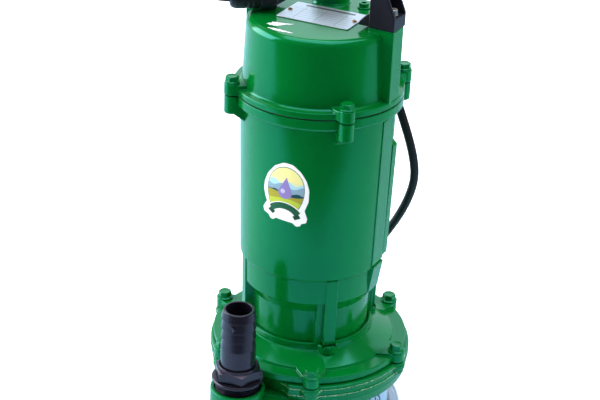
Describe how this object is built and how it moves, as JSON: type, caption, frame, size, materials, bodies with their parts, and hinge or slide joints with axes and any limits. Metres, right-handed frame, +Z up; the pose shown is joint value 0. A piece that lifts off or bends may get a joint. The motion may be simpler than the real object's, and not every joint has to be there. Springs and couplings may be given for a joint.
{
  "type": "submersible drainage pump",
  "caption": "Submersible drainage pump: cast motor housing and cover, spiral pump chamber with a hose tail, perforated strainer base, carry handle and rubber cable.",
  "frame": {"origin": "centre of the base pan's flat underside, on the pump's vertical axis", "axes": "+Z up along the pump's axis; +X along the carry handle, away from the side where the cable leaves it; -Y towards the hose tail"},
  "size_m": [0.2732, 0.3978, 0.5],
  "materials": {
    "green_enamel": "glossy enamel over cast aluminium",
    "black_nylon": "moulded glass-filled nylon, satin",
    "black_rubber": "matt rubber sheath",
    "stainless_sheet": "pressed stainless sheet, polished",
    "zinc_steel": "zinc plated",
    "aluminium_plate": "satin rolled plate",
    "brass_rivet": "plain",
    "gasket_board": "matt, over-painted at the edge"
  },
  "bodies": {
    "root": {"base_pan": "stainless_sheet", "strainer_wall": "stainless_sheet", "volute_casing": "green_enamel", "volute_gasket": "gasket_board", "pump_cover": "green_enamel", "cover_bolt_1": "green_enamel", "cover_bolt_2": "green_enamel", "cover_bolt_3": "green_enamel", "cover_bolt_4": "green_enamel", "cover_bolt_5": "green_enamel", "cover_bolt_6": "green_enamel", "motor_housing": "green_enamel", "housing_gasket": "gasket_board", "top_cover": "green_enamel", "flange_bolt_1": "green_enamel", "flange_bolt_2": "green_enamel", "flange_bolt_3": "green_enamel", "flange_bolt_4": "green_enamel", "nameplate": "aluminium_plate", "nameplate_rivet_left": "brass_rivet", "nameplate_rivet_right": "brass_rivet", "vent_plug": "green_enamel", "carry_handle": "black_nylon", "handle_screw_right": "zinc_steel", "handle_screw_left": "zinc_steel", "hose_barb": "black_nylon", "cable_boot": "black_rubber", "power_cord": "black_rubber", "cord_coil": "black_rubber", "mains_plug": "black_rubber"}
  },
  "joints": []
}
